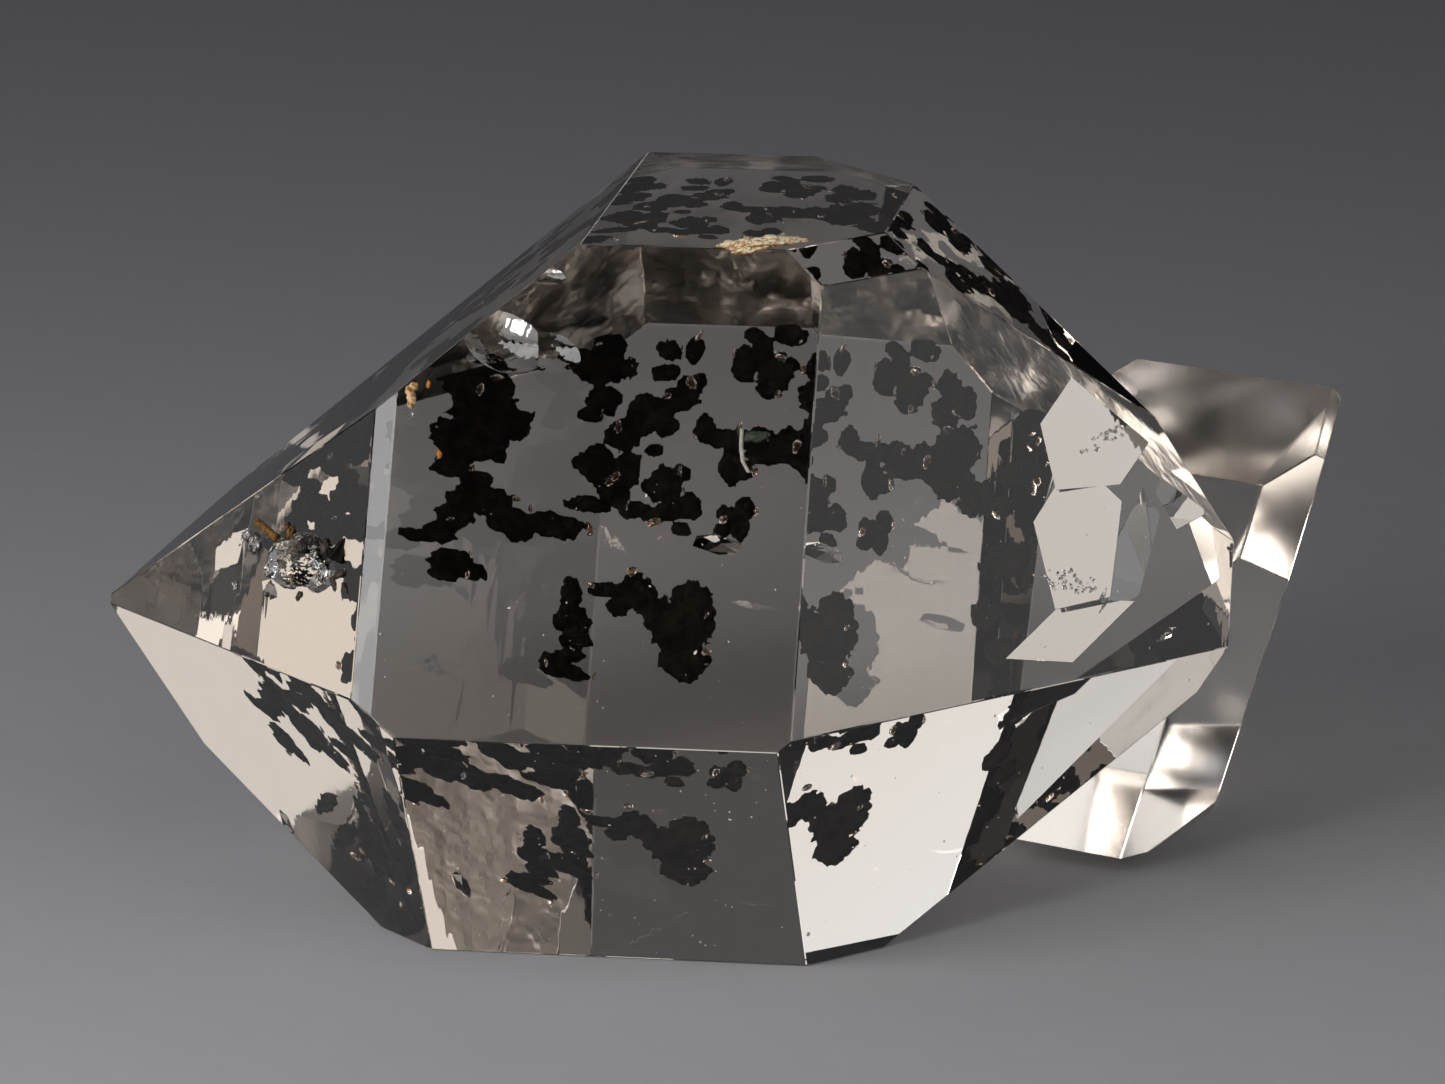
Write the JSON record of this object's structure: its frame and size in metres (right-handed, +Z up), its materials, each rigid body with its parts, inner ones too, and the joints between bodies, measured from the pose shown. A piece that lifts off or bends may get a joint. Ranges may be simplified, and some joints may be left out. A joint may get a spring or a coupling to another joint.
{
  "type": "herkimer diamond quartz",
  "caption": "Water-clear doubly terminated quartz crystal with a smaller crystal grown into its back and black carbon sealed under its back faces",
  "frame": {"origin": "on the level that the crystal rests on, below the middle of its box", "axes": "+X along the long axis of the main crystal, to the right seen from the front; +Y away from the front; +Z up"},
  "size_m": [0.029, 0.019, 0.0172],
  "materials": {
    "quartz": "natural crystal faces, bright",
    "carbon": "dull black-brown flakes",
    "matrix": "crumbly tan crust"
  },
  "bodies": {
    "root": {"quartz_front": "quartz", "quartz_back": "quartz", "carbon_heart": "carbon", "carbon_hook": "carbon", "carbon_wedge": "carbon", "carbon_left_band": "carbon", "carbon_upper_left": "carbon", "carbon_top_left": "carbon", "carbon_middle": "carbon", "carbon_fleck": "carbon", "carbon_right_band": "carbon", "carbon_upper_right": "carbon", "carbon_upper_middle": "carbon", "carbon_far_right": "carbon", "matrix_crust": "matrix"}
  },
  "joints": []
}
